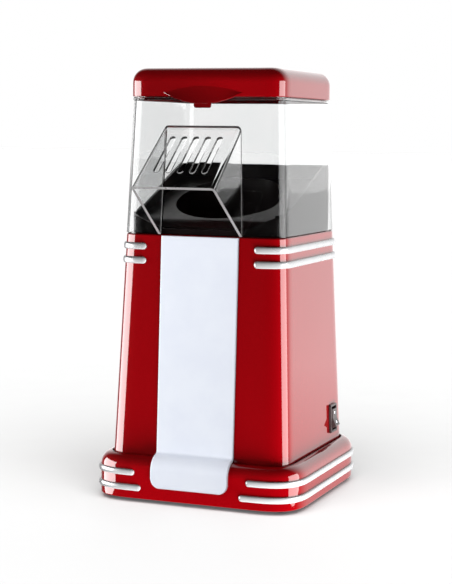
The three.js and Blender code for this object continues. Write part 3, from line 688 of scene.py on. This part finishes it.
def clear_cover():
    wall, corner = COVER["wall"], COVER["corner"]
    low, high = COVER_BOTTOM, COVER_TOP
    shell = square_loft(
        "clear_cover_looks",
        [
            (cover_half(low) - 0.4, corner - 0.4, low),
            (cover_half(low), corner, low + 0.4),
            (cover_half(high - 2.4), corner, high - 2.4),
            (cover_half(high) + 0.55, corner + 0.55, high - 1.9),
            (cover_half(high) + 0.55, corner + 0.55, high - 0.4),
            (cover_half(high) + 0.25, corner + 0.25, high),
            (cover_half(high) - wall + 0.4, corner - wall + 0.4, high),
            (cover_half(high) - wall, corner - wall, high - 0.4),
            (cover_half(low) - wall, corner - wall, low + 0.4),
            (cover_half(low) - wall + 0.4, corner - wall + 0.4, low),
        ],
        closed=True,
    )
    sill, head = low - 1, HOOD_TOP - 4
    outlet = [
        (hood_half(sill) - HOOD["wall"], sill),
        (hood_half(head) - HOOD["wall"], head),
        (-hood_half(head) + HOOD["wall"], head),
        (-hood_half(sill) + HOOD["wall"], sill),
    ]
    return cut(shell, prism("outlet", outlet, -70, -40, 1))


def hood_lines():
    """The hood's top and tip, and its slope and outward directions, all in (y, z)."""
    top = Vector((-cover_half(HOOD_TOP) - GAP, HOOD_TOP))
    tip = Vector((HOOD_TIP_Y, HOOD["tip_z"]))
    slope = (tip - top).normalized()
    outward = Vector((slope.y, -slope.x))
    return top, tip, slope, outward


def exit_hood():
    top, tip, slope, outward = hood_lines()
    foot = Vector((-cover_half(COVER_BOTTOM) - GAP, COVER_BOTTOM))
    foot_run, foot_drop = (foot - top).dot(slope), -(foot - top).dot(outward)
    reach = (tip - top).length
    radius = HOOD["fillet"]
    profile = [(1, 0.0, mix(foot_drop, radius, (i / 10) ** 0.8)) for i in range(10)]
    for i in range(9):
        angle = math.radians(90 * i / 8)
        profile.append((1, radius * (1 - math.cos(angle)), radius * (1 - math.sin(angle))))
    profile += [(side, inset, drop) for side, inset, drop in [(-s, a, b) for s, a, b in profile[::-1]]]
    stations = 14
    points, faces = [], []
    for side, inset, drop in profile:
        start = foot_run * drop / foot_drop
        end = mix(reach, foot_run, drop / foot_drop)
        for k in range(stations):
            spot = top + slope * mix(start, end, k / (stations - 1)) - outward * drop
            points.append((side * (hood_half(spot.y) - inset), spot.x, spot.y))
    for i in range(len(profile) - 1):
        for k in range(stations - 1):
            a = i * stations + k
            faces.append((a, a + 1, a + stations + 1, a + stations))
    hood = new_object("exit_hood_looks", points, faces)
    hood.data.materials.append(MATERIALS["clear_plastic"])
    # the wall's rims take the edge material, whose whitish colour is a painted glow
    hood.data.materials.append(painted_glow_edge())
    thick = hood.modifiers.new("wall", "SOLIDIFY")
    thick.material_offset_rim = 1
    thick.thickness = HOOD["wall"] * MM
    thick.offset = -1
    thick.use_even_offset = True
    bake(hood)
    return cut(hood, *steam_slots(top, slope, outward))


def steam_slots(top, slope, outward):
    slots = []
    for i in range(SLOTS["count"]):
        x = (i - (SLOTS["count"] - 1) / 2) * SLOTS["pitch"]
        radius = SLOTS["width"] / 2
        outline = [
            *arc(x, SLOTS["start"] + radius, radius, 180, 360, 12),
            *arc(x, SLOTS["end"] - radius, radius, 0, 180, 12),
        ]
        rings = []
        for depth in (-5, 5):
            spots = [(a, top + slope * run + outward * depth) for a, run in outline]
            rings.append([(a, spot.x, spot.y) for a, spot in spots])
        slots.append(new_object("slot", *skin(rings)))
    return slots


def top_cap():
    corner, wall, low = CAP["corner"], CAP["wall"], CAP["bottom"]
    inner, inner_corner = COLLAR["half"] - wall, COLLAR["corner"] - wall
    sections = [
        (inner - 5, inner_corner - 4, CAP_TOP - wall),
        (inner, inner_corner, CAP_TOP - wall - 6),
        (inner, inner_corner, COLLAR["bottom"] + 0.4),
        (inner + 0.4, inner_corner + 0.4, COLLAR["bottom"]),
        *edge(COLLAR["half"], COLLAR["corner"], COLLAR["bottom"], 0.5, 2, turn=-1),
        (COLLAR["half"], COLLAR["corner"], low),
        *edge(CAP_HALF, corner, low, 0.6, 3, turn=-1),
        *edge(CAP_HALF, corner, CAP_TOP, CAP["edge"], 16),
    ]
    return square_loft("top_cap_looks", sections)


def lens_heights(x):
    """Upper and lower edge of the cap's finger tab at x."""
    return [
        TAB["tip_z"] + (peak - TAB["tip_z"]) * (1 - (x / TAB["half"]) ** 2)
        for peak in (TAB["crown_z"], TAB["sill_z"])
    ]


def cap_tab():
    """Finger tab that swells out of the cap's front face from its upper arc to its hanging lip."""
    back = -CAP_HALF + 0.25
    rings = []
    for i in range(49):
        x = TAB["half"] * math.sin(math.pi / 2 * (i / 24 - 1))
        high, low = lens_heights(x)
        tall = high - low
        proud = TAB["proud"] * min(1, tall / 5)
        ring = [(x, back, high)]
        for k in range(9):
            rise = (k / 8) ** 1.3
            ring.append((x, -CAP_HALF - proud * rise, mix(high, low + 0.5, k / 8)))
        ring += [(x, -CAP_HALF - proud * 0.85, low + 0.15), (x, -CAP_HALF - proud * 0.5, low)]
        ring.append((x, back, low))
        rings.append(ring)
    return new_object("cap_tab", *skin(rings))


def cap_tongue():
    """Small catch tongue under the finger tab, rounded at its lower corners."""
    half, low = TONGUE["half"], TONGUE["bottom"]
    outline = [
        (half, TAB["sill_z"] + 2),
        (-half, TAB["sill_z"] + 2),
        *arc(-half + 1.6, low + 1.6, 1.6, 180, 270, 6),
        *arc(half - 1.6, low + 1.6, 1.6, 270, 360, 6),
    ]
    return bevel(prism("cap_tongue", outline, -CAP_HALF - 0.9, -CAP_HALF + 0.3, 1), 0.35, 2)


def inner_chute():
    """Black scoop: a sloping deck with a round mouth, between walls that rise towards the back."""
    half, corner, wall = CHUTE["half"], CHUTE["corner"], CHUTE["wall"]
    inner, low, high = half - wall, CHUTE_BOTTOM, CHUTE_TOP
    chute = square_loft("inner_chute_looks", [(half, corner, low + 0.001), (half, corner, high)])
    boolean(chute, prism("sides", CHUTE_SIDES, -60, 60, 0), "INTERSECT")
    below = square_loft("below", [(inner, corner - wall, low - 20), (inner, corner - wall, high + 20)])
    boolean(below, prism("under", CHUTE_UNDERSIDE, -60, 60, 0), "INTERSECT")
    cut(chute, below)
    mouth, throat = CHUTE["mouth"], THROAT["radius"]
    funnel = turned("funnel", [
        (0, CHUTE_THROAT), (throat + wall, CHUTE_THROAT), (throat + wall, THROAT["cone_bottom"]),
        (mouth + wall, THROAT["cone_top"]), (mouth + wall, 232), (0, 232)])
    boolean(chute, funnel, "UNION")
    above = square_loft("above", [(inner, corner - wall, low - 20), (inner, corner - wall, high + 20)])
    deck = [*CHUTE_DECK, (42, 260), (-54.6, 260)]
    boolean(above, prism("deck", deck, -60, 60, 0), "INTERSECT")
    bore = turned("bore", [
        (0, CHUTE_THROAT - 1), (throat, CHUTE_THROAT - 1), (throat, THROAT["cone_bottom"]),
        (mouth, THROAT["cone_top"]), (mouth, 260), (0, 260)])
    cut(chute, above, bore, prism("lip", CHUTE_LIP, -60, -52, 1))
    chute.data.materials.clear()
    chute.data.materials.append(black_plastic("black chute plastic", 0.15, 0.28))
    return bevel(tidy(chute), 0.7, 3)


def frame_ring(x, half_y, half_z, corner):
    """Points round a rounded rectangle on the plane at x, in the switch's own directions."""
    ring = []
    for quarter, (sy, sz) in enumerate([(1, -1), (1, 1), (-1, 1), (-1, -1)]):
        for i in range(7):
            angle = math.pi / 2 * (quarter - 1 + i / 6)
            y = sy * (half_y - corner) + corner * math.cos(angle)
            z = sz * (half_z - corner) + corner * math.sin(angle)
            ring.append((x, y, z))
    return ring


def switch_housing():
    """Bezel with a rounded rim and a deep pocket, and the switch's body with its three terminals."""
    rim_y, rim_z, proud = SWITCH["bezel_y"], SWITCH["bezel_z"], SWITCH["proud"]
    body_y, body_z = SWITCH_BODY["half_y"], SWITCH_BODY["half_z"]
    pocket_y, pocket_z = SWITCH_POCKET["half_y"], SWITCH_POCKET["half_z"]
    rings = [
        frame_ring(-SWITCH["depth"], body_y, body_z, 0.6),
        frame_ring(GAP, body_y, body_z, 0.6),
        frame_ring(GAP, rim_y, rim_z, 1.2),
        frame_ring(proud - 0.7, rim_y, rim_z, 1.2),
        frame_ring(proud - 0.2, rim_y - 0.2, rim_z - 0.2, 1.0),
        frame_ring(proud, rim_y - 0.7, rim_z - 0.7, 0.8),
        frame_ring(proud, pocket_y + 0.35, pocket_z + 0.35, 0.5),
        frame_ring(proud - 0.4, pocket_y, pocket_z, 0.4),
        frame_ring(-SWITCH_POCKET["depth"], pocket_y, pocket_z, 0.4),
    ]
    points, faces = skin(rings)
    for level in (-6, 0, 6):
        terminal, walls = block(-22, 1 - SWITCH["depth"], 2.4, 0.4)
        faces += [tuple(len(points) + i for i in wall) for wall in walls]
        points += [(x, y, z + level) for x, y, z in terminal]
    return new_object("switch_housing_looks", onto_side(points), faces)


def rocker_ring(y, inset):
    """Side outline of the rocker: a shallow V face, slanting ends and a back that fits the pocket."""
    half, face, crown = ROCKER["half_z"] - inset, ROCKER["face_z"] - inset, ROCKER["crown"] - inset
    tip = crown + face * math.tan(math.radians(ROCKER["throw"] / 2))
    lower = [(-4, -4.5), (-1.5, 0.4 - half), (0, -half), (tip - 0.5, -face - 0.25), (tip - 0.12, -face)]
    lower += [(tip - 0.05, 0.5 - face), (mix(tip, crown, 0.9), -0.1 * face), (crown + 0.05, 0)]
    upper = [(x, -z) for x, z in lower[-2::-1]]
    return [(x, y, z) for x, z in lower + upper]


def switch_rocker():
    half = ROCKER["half_y"]
    rings = [rocker_ring(y, inset) for y, inset in
             ((-half, 0.45), (-half + 0.12, 0.13), (-half + 0.45, 0), (half - 0.45, 0),
              (half - 0.12, 0.13), (half, 0.45))]
    points, faces = skin(rings)
    return new_object("switch_rocker_looks", onto_side(tilted(points)), faces)


def tilted(points):
    """Points of the rocker turned about its pivot, so that its upper half is pressed in."""
    tilt = Matrix.Rotation(-math.radians(ROCKER["throw"] / 2), 4, "Y")
    pivot = Vector((ROCKER["pivot"], 0, 0))
    return [tuple(tilt @ (Vector(point) - pivot) + pivot) for point in points]


def rocker_marks():
    """The usual on and off signs, a bar and a ring, moulded proud on the rocker's two halves."""
    sunk, proud = ROCKER["crown"] - 0.12, ROCKER["crown"] + 0.06
    slope = math.tan(math.radians(ROCKER["throw"] / 2))

    def on_face(x, y, z):
        return (x + abs(z) * slope, y, z)

    bar, faces = block(sunk, proud, MARKS["bar_half_width"], MARKS["bar_half"])
    points = [on_face(x, y, z + MARKS["z"]) for x, y, z in bar]
    inner, outer = MARKS["ring_inner"], MARKS["ring_outer"]
    rings = []
    for i in range(24):
        angle = math.radians(15 * i)
        spots = [(x, r * math.cos(angle), r * math.sin(angle) - MARKS["z"]) for x, r in
                 ((sunk, inner), (sunk, outer), (proud, outer), (proud, inner))]
        rings.append([on_face(*spot) for spot in spots])
    more, walls = skin(rings, closed=True)
    faces += [tuple(len(points) + i for i in wall) for wall in walls]
    return new_object("rocker_marks", onto_side(tilted(points + more)), faces)


def popping_chamber():
    """Spun aluminium cup with a domed floor, a rolled rim and louvres low in its wall."""
    radius, wall, rim = CHAMBER["radius"], CHAMBER["wall"], CHAMBER["rim"]
    floor_z, rim_z = CHAMBER["floor_z"], CHAMBER["rim_z"]
    cup = turned("popping_chamber_looks", [
        (0, floor_z + 4), (radius - 7, floor_z), (radius - 2, floor_z + 1), (radius, floor_z + 3),
        (radius, rim_z), (rim - 0.6, rim_z), (rim, rim_z + wall / 2), (rim - 0.6, rim_z + wall),
        (radius + 0.6, rim_z + wall), (radius - wall, rim_z + wall - 1), (radius - wall, floor_z + 3.6),
        (radius - 7.4, floor_z + wall), (0, floor_z + 4 + wall)])
    louvres = []
    for i in range(CHAMBER["louvres"]):
        points, faces = block(-2.5, 2.5, 0.6, 4.5)
        turn = Matrix.Rotation(2 * math.pi * i / CHAMBER["louvres"], 4, "Z")
        turn = turn @ Matrix.Translation((radius - 0.6, 0, 0))
        turn = turn @ Matrix.Rotation(0.6, 4, "Z") @ Matrix.Rotation(0.5, 4, "Y")
        moved = [turn @ Vector(point) + Vector((0, 0, floor_z + 10)) for point in points]
        louvres.append(new_object("louvre", [tuple(point) for point in moved], faces))
    return cut(cup, *louvres)


finish_piece(clear_cover(), "cover", "clear_plastic", "clear_cover")
finish_piece(exit_hood(), "cover", "clear_plastic", "exit_hood")
finish_piece(inner_chute(), "cover", "black_plastic", "inner_chute")
finish_piece(top_cap(), "cap", "red_plastic", "top_cap")
finish_piece(cap_tab(), "cap", "red_plastic")
finish_piece(cap_tongue(), "cap", "red_plastic")
finish_piece(switch_housing(), "machine", "black_plastic", "switch_housing")
finish_piece(switch_rocker(), "rocker", "black_plastic", "switch_rocker")
finish_piece(rocker_marks(), "rocker", "white_plastic")
finish_piece(popping_chamber(), "machine", "aluminium", "popping_chamber")


# ---- Camera, lights and floor ----


CAMERA = {"lens": 96.8, "azimuth": 21.62, "elevation": 5.76, "roll": 0.58, "target_z": 0.150}
CAMERA_OFFSET = (-0.00403, -0.00563, 1.149)  # metres to the right of, above and in front of the target

FLOOR_SIZE = 20.0
FLOOR_SHADES = {"seen": 0.30, "lighting": 0.10}
FLOOR_SUN = {"spread": 80, "energy": 12.1, "tilt": 35, "azimuth": 21.6}
BEHIND = {"from": (0.38, 0.87), "strength": (0.01, 1.45)}  # the world by y of the direction
HORIZON = {"from": (-0.22, -0.12), "strength": (0.5, 1.0)}  # dimmer below it, by z


def camera():
    data = bpy.data.cameras.new("camera")
    data.sensor_width = 36
    data.lens = CAMERA["lens"]
    view = bpy.data.objects.new("camera", data)
    bpy.context.scene.collection.objects.link(view)
    azimuth, elevation, roll = (math.radians(CAMERA[key]) for key in ("azimuth", "elevation", "roll"))
    turn = Euler((math.pi / 2 - elevation, 0, azimuth)).to_matrix()
    aim = Vector((0, AXIS_Y, CAMERA["target_z"])) + turn @ Vector(CAMERA_OFFSET)
    view.matrix_world = Matrix.Translation(aim) @ (turn @ Matrix.Rotation(roll, 3, "Z")).to_4x4()
    bpy.context.scene.camera = view


def lighting_only(tree, own_bounces):
    """Socket that holds 1 for rays that light or mirror in something, and 0 for straight views.

    A view through the clear cover counts as straight. Background shaders count one bounce more.
    """
    path = tree.nodes.new("ShaderNodeLightPath")
    bounces = tree.nodes.new("ShaderNodeMath")
    bounces.operation = "SUBTRACT"
    tree.links.new(path.outputs["Ray Depth"], bounces.inputs[0])
    tree.links.new(path.outputs["Transmission Depth"], bounces.inputs[1])
    lit = tree.nodes.new("ShaderNodeMath")
    lit.operation = "GREATER_THAN"
    lit.inputs[1].default_value = own_bounces + 0.5
    tree.links.new(bounces.outputs[0], lit.inputs[0])
    return lit.outputs[0]


def softbox(name, azimuth, distance, width, low, high, radiance):
    """Upright panel that faces the object, in metres; azimuth is degrees from front towards right."""
    data = bpy.data.lights.new(name, "AREA")
    data.shape = "RECTANGLE"
    data.size = width
    data.size_y = high - low
    data.energy = radiance * math.pi * width * (high - low)
    light = bpy.data.objects.new(name, data)
    bpy.context.scene.collection.objects.link(light)
    angle = math.radians(azimuth)
    centre = Vector((distance * math.sin(angle), AXIS_Y - distance * math.cos(angle), (low + high) / 2))
    light.location = centre
    light.rotation_euler = Euler((math.pi / 2, 0, angle))
    light.visible_camera = False
    return light


def limit_light(light, objects, state):
    """Keeps a light off some objects, with state EXCLUDE, or to them alone, with INCLUDE."""
    group = bpy.data.collections.new(f"{light.name} {state}")
    for i, obj in enumerate(objects):
        group.objects.link(obj)
        group.collection_objects[i].light_linking.link_state = state
    light.light_linking.receiver_collection = group


def looks(*nodes):
    """The detailed pieces that stand for these CAD nodes."""
    return [bpy.data.objects[f"{node}_looks"] for node in nodes]


def side_softboxes(plane, cover, inside):
    """Softboxes that make the corners' highlights.

    They are weaker for the clear and black pieces, which would mirror them too brightly.
    """
    for name, azimuth, width, strong, middling, weak in [
        ("left softbox", -71, 0.86, 7.0, 2.2, 1.8),
        ("right softbox", 97, 0.78, 4.6, 2.2, 1.0),
    ]:
        for kind, lit, state, radiance in [
            ("painted", [plane, *cover, *inside], "EXCLUDE", strong),
            ("cover", cover, "INCLUDE", middling),
            ("inside", inside, "INCLUDE", weak),
        ]:
            light = softbox(f"{name} {kind}", azimuth, 0.9, width, -0.2, 0.42, radiance)
            limit_light(light, lit, state)


def fills(plane, cover, inside):
    """Fills that are never seen mirrored: from the front, onto cap and base, and a glow from below."""
    front = softbox("front fill", -15, 1.8, 1.6, 0.1, 1.6, 2.6)
    limit_light(front, [plane], "EXCLUDE")
    top = softbox("cap and base fill", -10, 1.3, 1.2, 0.6, 1.7, 9.0)
    limit_light(top, looks("top_cap", "base_skirt"), "INCLUDE")
    low = softbox("low glow", 54, 0.8, 0.7, -1.5, -0.35, 108)
    limit_light(low, [plane, *looks("front_slide"), *cover, *inside], "EXCLUDE")
    for light in (front, top, low):
        light.visible_glossy = False
    for light in (front, top):
        light.visible_transmission = False


def floor():
    """Pale floor that looks white, and that only dimly lights and mirrors in what stands on it."""
    corners = [(x * FLOOR_SIZE, y * FLOOR_SIZE, 0) for x, y in ((-1, -1), (1, -1), (1, 1), (-1, 1))]
    mesh = bpy.data.meshes.new("floor")
    mesh.from_pydata(corners, [], [(0, 1, 2, 3)])
    plane = bpy.data.objects.new("floor", mesh)
    bpy.context.scene.collection.objects.link(plane)
    nodes = Nodes("pale floor")
    nodes.set(Specular_IOR_Level=0.1)
    nodes.rough(nodes.noise(0.01), 0.6, 0.7)
    shade = nodes.add("ShaderNodeMix", data_type="RGBA")
    nodes.link(lighting_only(nodes.tree, 0), shade.inputs["Factor"])
    for socket, kind in (("A", "seen"), ("B", "lighting")):
        shade.inputs[socket].default_value = (*[FLOOR_SHADES[kind]] * 3, 1)
    nodes.link(shade.outputs["Result"], nodes.shader.inputs["Base Color"])
    mesh.materials.append(nodes.material)
    plane.visible_glossy = False
    plane.visible_shadow = False
    return plane


def floor_light(plane):
    """Soft light from above the camera that falls on the floor only, and so shades it at the base."""
    data = bpy.data.lights.new("floor light", "SUN")
    data.angle = math.radians(FLOOR_SUN["spread"])
    data.energy = FLOOR_SUN["energy"]
    light = bpy.data.objects.new("floor light", data)
    tilt, azimuth = math.radians(FLOOR_SUN["tilt"]), math.radians(FLOOR_SUN["azimuth"])
    light.rotation_euler = Euler((tilt, 0, azimuth))
    bpy.context.scene.collection.objects.link(light)
    limit_light(light, [plane], "INCLUDE")


def world():
    """White to the camera; to other rays it is bright behind the object and dark in front of it."""
    sky = bpy.data.worlds.new("studio")
    bpy.context.scene.world = sky
    sky.use_nodes = True
    tree = sky.node_tree
    background = tree.nodes["Background"]
    coordinates = tree.nodes.new("ShaderNodeTexCoord")
    axes = tree.nodes.new("ShaderNodeSeparateXYZ")
    tree.links.new(coordinates.outputs["Generated"], axes.inputs[0])
    shades = tree.nodes.new("ShaderNodeMath")
    shades.operation = "MULTIPLY"
    for socket, axis, part in ((0, "Y", BEHIND), (1, "Z", HORIZON)):
        strength = remap(tree, axes.outputs[axis], part["from"], part["strength"])
        tree.links.new(strength, shades.inputs[socket])
    choose = tree.nodes.new("ShaderNodeMix")
    tree.links.new(lighting_only(tree, 1), choose.inputs["Factor"])
    choose.inputs["A"].default_value = 1.0
    tree.links.new(shades.outputs[0], choose.inputs["B"])
    tree.links.new(choose.outputs["Result"], background.inputs["Strength"])
    background.inputs["Color"].default_value = (1, 1, 1, 1)
    sky.cycles.sampling_method = "NONE"


camera()
stage = floor()
clear_walls, inner_pieces = looks("clear_cover"), looks("exit_hood", "inner_chute")
side_softboxes(stage, clear_walls, inner_pieces)
fills(stage, clear_walls, inner_pieces)
floor_light(stage)
world()
bpy.context.scene.view_settings.view_transform = "Standard"
